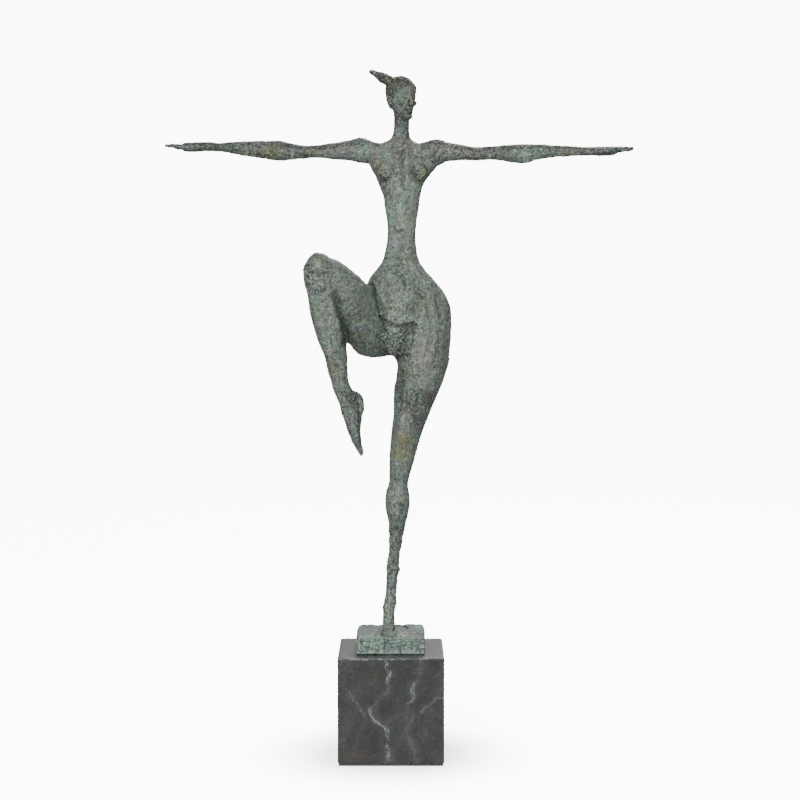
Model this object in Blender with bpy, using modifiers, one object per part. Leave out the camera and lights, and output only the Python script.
"""Bronze statuette: a stylised dancer balancing on one leg, on a bronze ground plate and a marble block.

The figure is made as a foundry makes it. Seven hollow or solid castings are cut from one modelled form at
the neck, shoulders, waist, groin and thigh, aligned on dowels and welded. The ground plate is an open tray
with two tapped bosses, and studs, washers and nuts in the block's underside draw it down on the marble.

Run it with: blender --background --python part.py
Tables are in millimetres and MM turns them into metres. +Z is up, the figure faces -Y, and the origin is the
middle of the underside. Left and right are the figure's own, so its right side is at -X.
"""

import math

import bmesh
import bpy
import numpy as np
from mathutils import Matrix, Vector

MM = 0.001
GAP = 0.3 * MM  # clearance between pieces that touch

# Marble block and felt
BLOCK_SIDE = 101.6 * MM  # a four-inch cube
BLOCK_TOP = 104 * MM
BLOCK_EDGE = 0.8 * MM
FELT_THICK = 2 * MM
FELT_INSET = 1 * MM

# Ground plate, an open tray with its top wall under the foot
PLATE_SIZE = (65 * MM, 69 * MM)
PLATE_CENTRE = (-0.4 * MM, -0.5 * MM)
PLATE_TOP = 120 * MM
PLATE_WALL = 4.5 * MM
PLATE_EDGE = 1.4 * MM
BOSS_RADIUS = 7 * MM

# Fixings, M6
STUD_RADIUS = 3 * MM
STUD_HOLE_RADIUS = 3.4 * MM
STUD_OFFSET = 20 * MM
STUD_BOTTOM = 13 * MM
STUD_TOP = 115 * MM
COUNTERBORE_RADIUS = 10 * MM
COUNTERBORE_TOP = 24 * MM
BLOCK_HOLE_RADIUS = 4 * MM
WASHER_RADIUS = 9 * MM
WASHER_THICK = 1.6 * MM
NUT_ACROSS_FLATS = 10 * MM
NUT_HIGH = 5 * MM
DOWEL_RADIUS = 2.2 * MM

# Where the castings part
NECK_CUT = 608 * MM
WAIST_CUT = 510 * MM
THIGH_CUT = 368 * MM
RIGHT_SHOULDER_CUT = -47 * MM
LEFT_SHOULDER_CUT = 55 * MM
ARMPIT = 549 * MM
RAISED_TOE = 284 * MM
BETWEEN_LEGS = -19 * MM
GROIN_POINT = Vector((-21, -10, 424)) * MM
GROIN_NORMAL = Vector((-0.8, -0.6, 0))

# Modelled form
CASTING_WALL = 3.6 * MM
VOXEL = 1.5 * MM
FORM_TRIANGLES = 7400
SIDES = 20

# Rows are x, y, z of the section's middle, then its half width and half depth.
# Neck, torso, hips and standing leg: level sections, half width along X and half depth along Y.
COLUMN = (
    (9, 0.5, 636, 7, 7),
    (10, 0.5, 620, 7.3, 7.4),
    (10, 0.5, 606, 7.6, 7.6),
    (9.3, 1, 597, 9.5, 8.6),
    (8.6, 1.5, 592.5, 17, 9.6),
    (8.3, 2, 587, 25, 11.6),
    (8.5, 1.5, 579, 30, 13.6),
    (11, 1, 570, 31, 14.6),
    (10.7, 0.5, 561, 25.9, 14.4),
    (9.7, 0.5, 552, 21.3, 13.6),
    (10.2, 1, 542, 17.9, 12.4),
    (10.3, 2, 527, 15.7, 10.8),
    (10.4, 2.5, 512, 13.8, 9.8),
    (9.8, 2.5, 498, 14.2, 10.2),
    (9.4, 2, 486, 15.8, 12.2),
    (9.2, 0.5, 476, 20, 15.6),
    (9.5, 0, 466, 28, 19.5),
    (11.2, 0.5, 454, 36.5, 23.5),
    (14.4, 1.5, 440, 41.6, 26.5),
    (17, 3, 424, 41.4, 28.5),
    (20.6, 3.5, 409, 37.4, 29),
    (26.7, 2.5, 395, 30.2, 28),
    (30.7, 1, 383, 24.9, 26),
    (28.8, 0, 370, 23.6, 24),
    (24.2, -0.5, 353, 21.6, 22),
    (20.2, -1, 334, 17.8, 19.5),
    (15, -1.5, 314, 14.7, 17),
    (11, -1.5, 294, 13, 14.8),
    (8.5, -1.5, 276, 10.5, 12.6),
    (7.2, -1.5, 265, 9.2, 11.8),
    (6.2, -1.5, 253, 11.7, 12.6),
    (6, -0.5, 242, 11.8, 12),
    (6.2, 2, 229, 9, 12),
    (5, 4, 215, 7, 11),
    (3.8, 5, 202, 5.7, 9),
    (1.6, 5, 188, 5.8, 7.4),
    (1.6, 4.8, 179, 6.5, 6.8),
    (0.4, 4.6, 168, 5, 6.3),
    (-0.4, 4.4, 154, 5.5, 6.6),
    (-2, 4, 142, 6.1, 7.8),
    (-2.4, 3.4, 130, 5.9, 9),
    (-2.4, 2.5, 118, 5.9, 9.5),
)
# Standing foot: sections across Y from heel to toes, half width along X and half height along Z.
FOOT = (
    (-2.4, 15, 123.5, 3, 3),
    (-2.4, 10, 125, 5.4, 6),
    (-2.5, 2, 126, 6, 7.5),
    (-2.8, -8, 125, 5.8, 5.8),
    (-3, -17, 123.4, 6.8, 4.2),
    (-3, -25, 122.4, 7.4, 3.4),
    (-2.8, -31, 121.9, 5.6, 2.6),
    (-2.6, -34, 121.6, 2.6, 1.6),
)
# Raised thigh from inside the hip to the knee, half width across the leg's own upright plane.
RAISED_THIGH = (
    (4, 13, 418, 20, 24),
    (-10, 3, 416, 22.5, 29),
    (-22.5, -11, 419.5, 23.5, 30.5),
    (-34, -29, 432.3, 23, 27.3),
    (-45, -45.5, 447, 21, 24),
    (-55, -56, 459.5, 18, 21.3),
    (-61, -61.5, 468, 15.5, 17.5),
    (-65.5, -65.5, 474, 11, 12),
    (-67.5, -67.5, 476.5, 6.5, 7),
)
# Raised shin, ankle and foot, from the knee down to the toes.
RAISED_SHIN = (
    (-63.5, -63.5, 485.5, 5, 5.5),
    (-64.8, -64.6, 481, 10.5, 11),
    (-65.8, -65.2, 473, 14.6, 15),
    (-65.2, -64.4, 463, 15.4, 15.8),
    (-63, -62, 452, 15, 15.4),
    (-60.9, -59.6, 438, 14.8, 15.4),
    (-58.4, -57, 423, 14.6, 15.2),
    (-55.1, -53.6, 409, 13.6, 14.4),
    (-52.5, -51.2, 395, 11.2, 11.8),
    (-51, -49.5, 383, 9.2, 9.8),
    (-49, -47.5, 371, 8.2, 9),
    (-46.6, -45.1, 361, 7.8, 8.8),
    (-42.7, -41.2, 351.5, 7.4, 9.2),
    (-36.8, -35.3, 343.5, 7.2, 14.8),
    (-36.4, -34.9, 336.5, 6.9, 12.6),
    (-35.9, -34.3, 328, 6.8, 9.4),
    (-34.7, -33.1, 317, 6.3, 5.8),
    (-32.2, -30.6, 307, 4.9, 3.6),
    (-29.8, -28.2, 300, 3.4, 2.7),
    (-27.4, -25.9, 293.5, 2, 1.6),
)
# Arms: sections across X from the shoulder to the fingertips, half width along Z and half depth along Y.
RIGHT_ARM = (
    (3, 2, 585, 7, 9),
    (-13, 2, 583.5, 9, 11.4),
    (-28, 2.5, 585.8, 12.3, 11.8),
    (-39, 3, 585.7, 10.1, 10.4),
    (-53, 3.5, 585, 8.2, 8.6),
    (-69, 4, 584.9, 6.2, 7.2),
    (-83, 4.5, 584.4, 6.2, 7.2),
    (-96, 5, 584.6, 8, 8.4),
    (-107, 5, 585.6, 9.4, 9.4),
    (-119, 4.5, 586, 9, 9),
    (-133, 3.5, 587, 7.7, 8),
    (-149, 2.5, 587.9, 5.8, 6.8),
    (-164, 1.5, 588.8, 4.5, 5.6),
    (-176, 1, 589.1, 4.4, 6),
    (-188, 0.5, 588.8, 4.8, 8.2),
    (-198, 0, 589, 4, 8),
    (-207, -0.5, 589.6, 3.1, 6.4),
    (-214, -1, 590.2, 2.3, 4.2),
    (-217.5, -1, 590.4, 1.3, 2),
)
LEFT_ARM = (
    (15, 2, 584.5, 7, 9),
    (29, 2, 582.7, 9.8, 11.4),
    (41, 2.5, 584, 12.5, 11.8),
    (52, 3, 584.4, 10, 10.4),
    (64, 3.5, 584.1, 8, 8.6),
    (79, 4, 582.9, 6, 7.2),
    (94, 4.5, 583, 5.7, 7.2),
    (107, 5, 583, 6.8, 8.2),
    (119, 5, 582.6, 9, 9.2),
    (130, 4.5, 582.7, 9.1, 8.8),
    (143, 3.5, 584.2, 6.9, 7.4),
    (159, 2.5, 584.6, 5.3, 6.4),
    (174, 1.5, 584.8, 5, 5.6),
    (186, 1, 584.8, 4.2, 6),
    (199, 0.5, 584.7, 4.5, 8.2),
    (209, 0, 585.1, 4.3, 8.2),
    (218, -0.5, 585.9, 3.4, 6.8),
    (227, -1, 587, 2.4, 4.6),
    (233, -1, 587.4, 1.3, 2),
)
# Head: level sections in the head's own frame, x sideways and y backwards, about HEAD_CENTRE.
HEAD_CENTRE = Vector((9.6, 0, 634.5)) * MM
HEAD_TURN = math.radians(38)  # towards the figure's left
HEAD = (
    (0, -10, -20.6, 2.6, 2.6),
    (0, -8, -18.4, 5, 5.6),
    (0, -5, -14, 7.4, 9),
    (0, -2, -8, 9.8, 12.6),
    (0, -0.5, -2, 11.8, 15.2),
    (0, 0, 4, 12.6, 16.3),
    (0, 0.2, 10, 12.4, 16),
    (0, 0.6, 15.4, 10, 13),
    (0, 1, 19.2, 6.6, 8.6),
    (0, 1.2, 20.8, 3, 4),
)
# Swept-back hair, drawn into a twist that ends in a point.
HAIR_TWIST = (
    (3, 3, 649, 5, 6),
    (-2, 4.5, 652.2, 4.6, 5.4),
    (-6, 5.5, 654.3, 4.8, 5),
    (-10, 6.5, 655.8, 4.3, 4.5),
    (-13.5, 7.5, 657.6, 3.3, 3.6),
    (-16, 8, 659.5, 2.7, 2.9),
    (-18.6, 8.4, 660.9, 2.4, 2.4),
    (-21, 8.6, 661, 1.5, 1.6),
)
# Round forms added to the lofts: centre, then half sizes along X, Y and Z.
SWELLINGS = (
    ((-4.5, -11, 565), (8.4, 7.6, 8.6)),  # breasts
    ((26, -11, 564), (8.4, 7.6, 8.6)),
    ((-5, 9, 415), (23, 22, 26)),  # buttocks
    ((33, 11.5, 413), (23, 21.5, 28)),
    ((9, -12, 444), (20, 14, 22)),  # belly
    ((-2, 10, 575), (14, 7, 17)),  # shoulder blades
    ((22, 10, 574), (14, 7, 17)),
)

PATINA = (0.115, 0.150, 0.128)
FINISHES = {
    "patinated_bronze": (PATINA, 0.55, 0.7),
    "black_marble": ((0.045, 0.048, 0.046), 0.2, 0.0),
    "zinc_steel": ((0.55, 0.56, 0.58), 0.35, 1.0),
    "black_felt": ((0.02, 0.02, 0.02), 0.95, 0.0),
}


def clear_scene():
    for obj in list(bpy.data.objects):
        bpy.data.objects.remove(obj, do_unlink=True)


def new_collection(name, hidden=False):
    collection = bpy.data.collections.new(name)
    collection.hide_render = hidden
    bpy.context.scene.collection.children.link(collection)
    return collection


def finish(name):
    """One of the four finishes, made once."""
    material = bpy.data.materials.get(name)
    if material is None:
        colour, roughness, metallic = FINISHES[name]
        material = bpy.data.materials.new(name)
        material.use_nodes = True
        surface = material.node_tree.nodes["Principled BSDF"]
        surface.inputs["Base Color"].default_value = (*colour, 1)
        surface.inputs["Roughness"].default_value = roughness
        surface.inputs["Metallic"].default_value = metallic
    return material


def add_object(name, mesh, collection, material=None):
    obj = bpy.data.objects.new(name, mesh)
    collection.objects.link(obj)
    if material:
        mesh.materials.clear()
        mesh.materials.append(finish(material))
    return obj


def add_cutter(name, mesh):
    cutter = add_object(name, mesh, cutters)
    cutter.hide_render = True
    cutter.display_type = "WIRE"
    return cutter


def mesh_from(name, build):
    """A mesh of what build(bm) makes, with its faces turned outwards."""
    bm = bmesh.new()
    build(bm)
    bmesh.ops.recalc_face_normals(bm, faces=bm.faces)
    mesh = bpy.data.meshes.new(name)
    bm.to_mesh(mesh)
    bm.free()
    return mesh


def box_mesh(name, low, high):
    low, high = Vector(low), Vector(high)
    matrix = Matrix.Translation((low + high) / 2) @ Matrix.Diagonal((*(high - low), 1))
    return mesh_from(name, lambda bm: bmesh.ops.create_cube(bm, size=1, matrix=matrix))


def rod_mesh(name, start, end, radius, segments=24, turn=0.0):
    """A cylinder, or a prism of few segments, from start to end."""
    start, end = Vector(start), Vector(end)
    along = end - start
    matrix = Matrix.Translation((start + end) / 2) @ along.to_track_quat("Z", "Y").to_matrix().to_4x4()
    matrix = matrix @ Matrix.Rotation(turn, 4, "Z")
    sizes = dict(segments=segments, radius1=radius, radius2=radius, depth=along.length)
    return mesh_from(name, lambda bm: bmesh.ops.create_cone(bm, cap_ends=True, matrix=matrix, **sizes))


def boolean(obj, cutter, operation):
    modifier = obj.modifiers.new(f"{operation.lower()} {cutter.name}", "BOOLEAN")
    modifier.operation = operation
    modifier.object = cutter
    modifier.solver = "EXACT"


def smoothed(stations, steps):
    """Rows along a Catmull-Rom curve through the stations, a number of steps to each span."""
    rows = np.array(stations, float) * MM
    padded = np.vstack([2 * rows[0] - rows[1], rows, 2 * rows[-1] - rows[-2]])
    made = []
    for before, start, end, after in zip(padded, padded[1:], padded[2:], padded[3:]):
        for t in np.arange(steps) / steps:
            bend = (2 * before - 5 * start + 4 * end - after) * t**2
            twist = (3 * start - before - 3 * end + after) * t**3
            made.append((2 * start + (end - before) * t + bend + twist) / 2)
    made.append(rows[-1])
    return np.array(made)


def add_loft(bm, stations, side, along=None, steps=3, inset=0.0, place=Matrix()):
    """A closed skin over elliptical sections.

    side is the direction of the half widths. along fixes the sections' normal; without it they stand square
    to the path. inset shrinks every section, which makes the core of a hollow casting. place moves the whole.
    """
    rows = smoothed(stations, steps)
    tangents = np.gradient(rows[:, :3], axis=0)
    rings = []
    for row, tangent in zip(rows, tangents):
        normal = Vector(along or tangent).normalized()
        across = Vector(side) - Vector(side).dot(normal) * normal
        across.normalize()
        depth = normal.cross(across)
        half_width, half_depth = (max(size - inset, 0.4 * MM) for size in row[3:])
        ring = []
        for k in range(SIDES):
            angle = 2 * math.pi * k / SIDES
            offset = across * half_width * math.cos(angle) + depth * half_depth * math.sin(angle)
            ring.append(bm.verts.new(place @ (Vector(row[:3]) + offset)))
        rings.append(ring)
    faces = [bm.faces.new(rings[0]), bm.faces.new(reversed(rings[-1]))]
    for ring, following in zip(rings, rings[1:]):
        for k in range(SIDES):
            after = (k + 1) % SIDES
            faces.append(bm.faces.new((ring[k], ring[after], following[after], following[k])))
    bmesh.ops.recalc_face_normals(bm, faces=faces)


LEG_SIDE = Vector((1, -1, 0)).normalized()  # square to the raised leg's upright plane
X, Y, Z = Vector((1, 0, 0)), Vector((0, 1, 0)), Vector((0, 0, 1))
HEAD_PLACE = Matrix.Translation(HEAD_CENTRE) @ Matrix.Rotation(HEAD_TURN, 4, "Z")


def add_swelling(bm, centre, half_sizes):
    matrix = Matrix.Translation(Vector(centre) * MM) @ Matrix.Diagonal((*(Vector(half_sizes) * MM), 1))
    bmesh.ops.create_uvsphere(bm, u_segments=24, v_segments=14, radius=1, matrix=matrix)


def build_form(bm):
    """Every volume of the figure, overlapping, before they are fused."""
    add_loft(bm, COLUMN, X, along=Z)
    add_loft(bm, FOOT, X, along=Y)
    add_loft(bm, RAISED_THIGH, LEG_SIDE)
    add_loft(bm, RAISED_SHIN, LEG_SIDE)
    add_loft(bm, RIGHT_ARM, Z, along=X)
    add_loft(bm, LEFT_ARM, Z, along=X)
    add_loft(bm, HEAD, X, along=Z, place=HEAD_PLACE)
    add_loft(bm, HAIR_TWIST, Z, along=X)
    for centre, half_sizes in SWELLINGS:
        add_swelling(bm, centre, half_sizes)


def fused_form():
    """The figure as one skin: voxel remesh joins the volumes, and smoothing blends where they meet."""
    form = add_cutter("figure_form", mesh_from("figure_form", build_form))
    remesh = form.modifiers.new("fuse", "REMESH")
    remesh.mode = "VOXEL"
    remesh.voxel_size = VOXEL
    smooth = form.modifiers.new("blend", "SMOOTH")
    smooth.factor = 0.5
    smooth.iterations = 5
    graph = bpy.context.evaluated_depsgraph_get()
    triangles = 2 * len(form.evaluated_get(graph).data.polygons)
    decimate = form.modifiers.new("lighten", "DECIMATE")
    decimate.ratio = FORM_TRIANGLES / triangles
    bpy.context.view_layer.update()
    graph = bpy.context.evaluated_depsgraph_get()
    return bpy.data.meshes.new_from_object(form.evaluated_get(graph))


def casting(name, form, planes):
    """The part of the form on the side of every plane that its normal points to, with flat ends."""
    bm = bmesh.new()
    bm.from_mesh(form)
    for point, normal in planes:
        point = Vector(point) + Vector(normal).normalized() * GAP / 2
        geometry = bm.verts[:] + bm.edges[:] + bm.faces[:]
        bmesh.ops.bisect_plane(bm, geom=geometry, plane_co=point, plane_no=normal, dist=1e-7, clear_inner=True)
        edges = [edge for edge in bm.edges if edge.is_boundary]
        bmesh.ops.contextual_create(bm, geom=edges)
    bmesh.ops.recalc_face_normals(bm, faces=bm.faces)
    mesh = bpy.data.meshes.new(name)
    bm.to_mesh(mesh)
    bm.free()
    obj = add_object(name, mesh, statuette, "patinated_bronze")
    mesh.shade_smooth()
    mesh.set_sharp_from_angle(angle=math.radians(50))
    return obj


def build_figure():
    """The seven castings of the figure, hollow where a foundry cores them."""
    form = fused_form()
    neck, waist, thigh = Z * NECK_CUT, Z * WAIST_CUT, Z * THIGH_CUT
    right_shoulder, left_shoulder = X * RIGHT_SHOULDER_CUT, X * LEFT_SHOULDER_CUT
    casting("head_casting", form, [(neck, Z)])
    torso = casting(
        "torso_casting", form, [(neck, -Z), (waist, Z), (right_shoulder, X), (left_shoulder, -X)]
    )
    casting("right_arm_casting", form, [(Z * ARMPIT, Z), (right_shoulder, -X)])
    casting("left_arm_casting", form, [(Z * ARMPIT, Z), (left_shoulder, X)])
    hips = casting("hip_casting", form, [(waist, -Z), (GROIN_POINT, -GROIN_NORMAL), (thigh, Z)])
    raised = casting(
        "raised_leg_casting", form, [(waist, -Z), (Z * RAISED_TOE, Z), (GROIN_POINT, GROIN_NORMAL)]
    )
    standing = casting(
        "standing_leg_casting", form, [(thigh, -Z), (X * BETWEEN_LEGS, X), (Z * PLATE_TOP, Z)]
    )

    torso_rows = [row for row in COLUMN if 494 < row[2] < 584]
    hip_rows = [row for row in COLUMN if 354 < row[2] < 524]
    leg_rows = [row for row in COLUMN if 274 < row[2] < 384]
    column_core = dict(side=X, along=Z, inset=CASTING_WALL)
    cores = {
        torso: (torso_rows, column_core),
        hips: (hip_rows, column_core),
        standing: (leg_rows, column_core),
        raised: (RAISED_THIGH[1:7], dict(side=LEG_SIDE, inset=CASTING_WALL)),
    }
    for obj, (rows, how) in cores.items():
        core = mesh_from(f"{obj.name}_core", lambda bm: add_loft(bm, rows, steps=2, **how))
        boolean(obj, add_cutter(f"{obj.name}_core", core), "DIFFERENCE")


def build_dowels():
    """Round pins across the solid joints, each in a hole drilled in both pieces."""
    joints = {
        "neck_dowel": ((10, 0.5, 598), (10, 0.5, 618), ("head_casting", "torso_casting")),
        "right_shoulder_dowel": ((-59, 3.5, 585), (-35, 3.5, 585), ("right_arm_casting", "torso_casting")),
        "left_shoulder_dowel": ((43, 3, 584), (67, 3, 584), ("left_arm_casting", "torso_casting")),
        "foot_dowel": ((-2.4, 2.5, 116), (-2.4, 2.5, 132), ("standing_leg_casting", "ground_plate_casting")),
    }
    for name, (start, end, pieces) in joints.items():
        start, end = Vector(start) * MM, Vector(end) * MM
        mesh = rod_mesh(name, start, end, DOWEL_RADIUS, 16)
        add_object(name, mesh, statuette, "zinc_steel")
        margin = (end - start).normalized() * GAP
        hole = rod_mesh(f"{name}_hole", start - margin, end + margin, DOWEL_RADIUS + GAP, 16)
        cutter = add_cutter(f"{name}_hole", hole)
        for piece in pieces:
            boolean(bpy.data.objects[piece], cutter, "DIFFERENCE")


def stud_places():
    middle_x, middle_y = PLATE_CENTRE
    return {"right": (middle_x - STUD_OFFSET, middle_y), "left": (middle_x + STUD_OFFSET, middle_y)}


def build_plate():
    """The ground plate: an open tray with bosses for the studs."""
    bottom = BLOCK_TOP + GAP
    half_x, half_y = PLATE_SIZE[0] / 2, PLATE_SIZE[1] / 2
    middle_x, middle_y = PLATE_CENTRE
    low, high = (middle_x - half_x, middle_y - half_y), (middle_x + half_x, middle_y + half_y)
    mesh = box_mesh("ground_plate_casting", (*low, bottom), (*high, PLATE_TOP))
    plate = add_object("ground_plate_casting", mesh, statuette, "patinated_bronze")
    bevel = plate.modifiers.new("worn edges", "BEVEL")
    bevel.width = PLATE_EDGE
    bevel.segments = 2
    wall = PLATE_WALL
    pocket = box_mesh(
        "plate_pocket",
        (low[0] + wall, low[1] + wall, bottom - wall),
        (high[0] - wall, high[1] - wall, PLATE_TOP - wall),
    )
    boolean(plate, add_cutter("plate_pocket", pocket), "DIFFERENCE")
    for side, place in stud_places().items():
        boss = rod_mesh(f"boss_{side}", (*place, bottom), (*place, PLATE_TOP - wall / 2), BOSS_RADIUS)
        boolean(plate, add_cutter(f"boss_{side}", boss), "UNION")
        bottom_end, top_end = (*place, bottom - wall), (*place, STUD_TOP + GAP)
        hole = rod_mesh(f"tapped_hole_{side}", bottom_end, top_end, STUD_HOLE_RADIUS)
        boolean(plate, add_cutter(f"tapped_hole_{side}", hole), "DIFFERENCE")


def build_block():
    """The marble block, drilled and counterbored from below, and its felt."""
    half = BLOCK_SIDE / 2
    bottom = FELT_THICK + GAP
    mesh = box_mesh("marble_block", (-half, -half, bottom), (half, half, BLOCK_TOP))
    block = add_object("marble_block", mesh, statuette, "black_marble")
    bevel = block.modifiers.new("eased edges", "BEVEL")
    bevel.width = BLOCK_EDGE
    bevel.segments = 2
    for side, place in stud_places().items():
        hole = rod_mesh(f"block_hole_{side}", (*place, 0), (*place, BLOCK_TOP + bottom), BLOCK_HOLE_RADIUS)
        recess = rod_mesh(f"counterbore_{side}", (*place, 0), (*place, COUNTERBORE_TOP), COUNTERBORE_RADIUS, 32)
        boolean(block, add_cutter(f"block_hole_{side}", hole), "DIFFERENCE")
        boolean(block, add_cutter(f"counterbore_{side}", recess), "DIFFERENCE")
    felt_half = half - FELT_INSET
    felt = box_mesh("felt_pad", (-felt_half, -felt_half, 0), (felt_half, felt_half, FELT_THICK))
    add_object("felt_pad", felt, statuette, "black_felt")


def ring_piece(name, place, low, high, radius, segments, turn=0.0):
    """A washer or a nut: a disc or prism with a clearance hole for the stud."""
    mesh = rod_mesh(name, (*place, low), (*place, high), radius, segments, turn)
    obj = add_object(name, mesh, statuette, "zinc_steel")
    hole = rod_mesh(f"{name}_hole", (*place, low - GAP), (*place, high + GAP), STUD_RADIUS + GAP)
    boolean(obj, add_cutter(f"{name}_hole", hole), "DIFFERENCE")


def build_fixings():
    washer_top = COUNTERBORE_TOP - GAP
    washer_bottom = washer_top - WASHER_THICK
    nut_top = washer_bottom - GAP
    nut_radius = NUT_ACROSS_FLATS / 2 / math.cos(math.pi / 6)
    for side, place in stud_places().items():
        stud = rod_mesh(f"{side}_stud", (*place, STUD_BOTTOM), (*place, STUD_TOP), STUD_RADIUS)
        add_object(f"{side}_stud", stud, statuette, "zinc_steel")
        ring_piece(f"{side}_washer", place, washer_bottom, washer_top, WASHER_RADIUS, 32)
        ring_piece(f"{side}_nut", place, nut_top - NUT_HIGH, nut_top, nut_radius, 6, math.pi / 6)


clear_scene()
statuette = new_collection("bronze_statuette")
cutters = new_collection("cutters", hidden=True)
build_figure()
build_plate()
build_dowels()
build_block()
build_fixings()
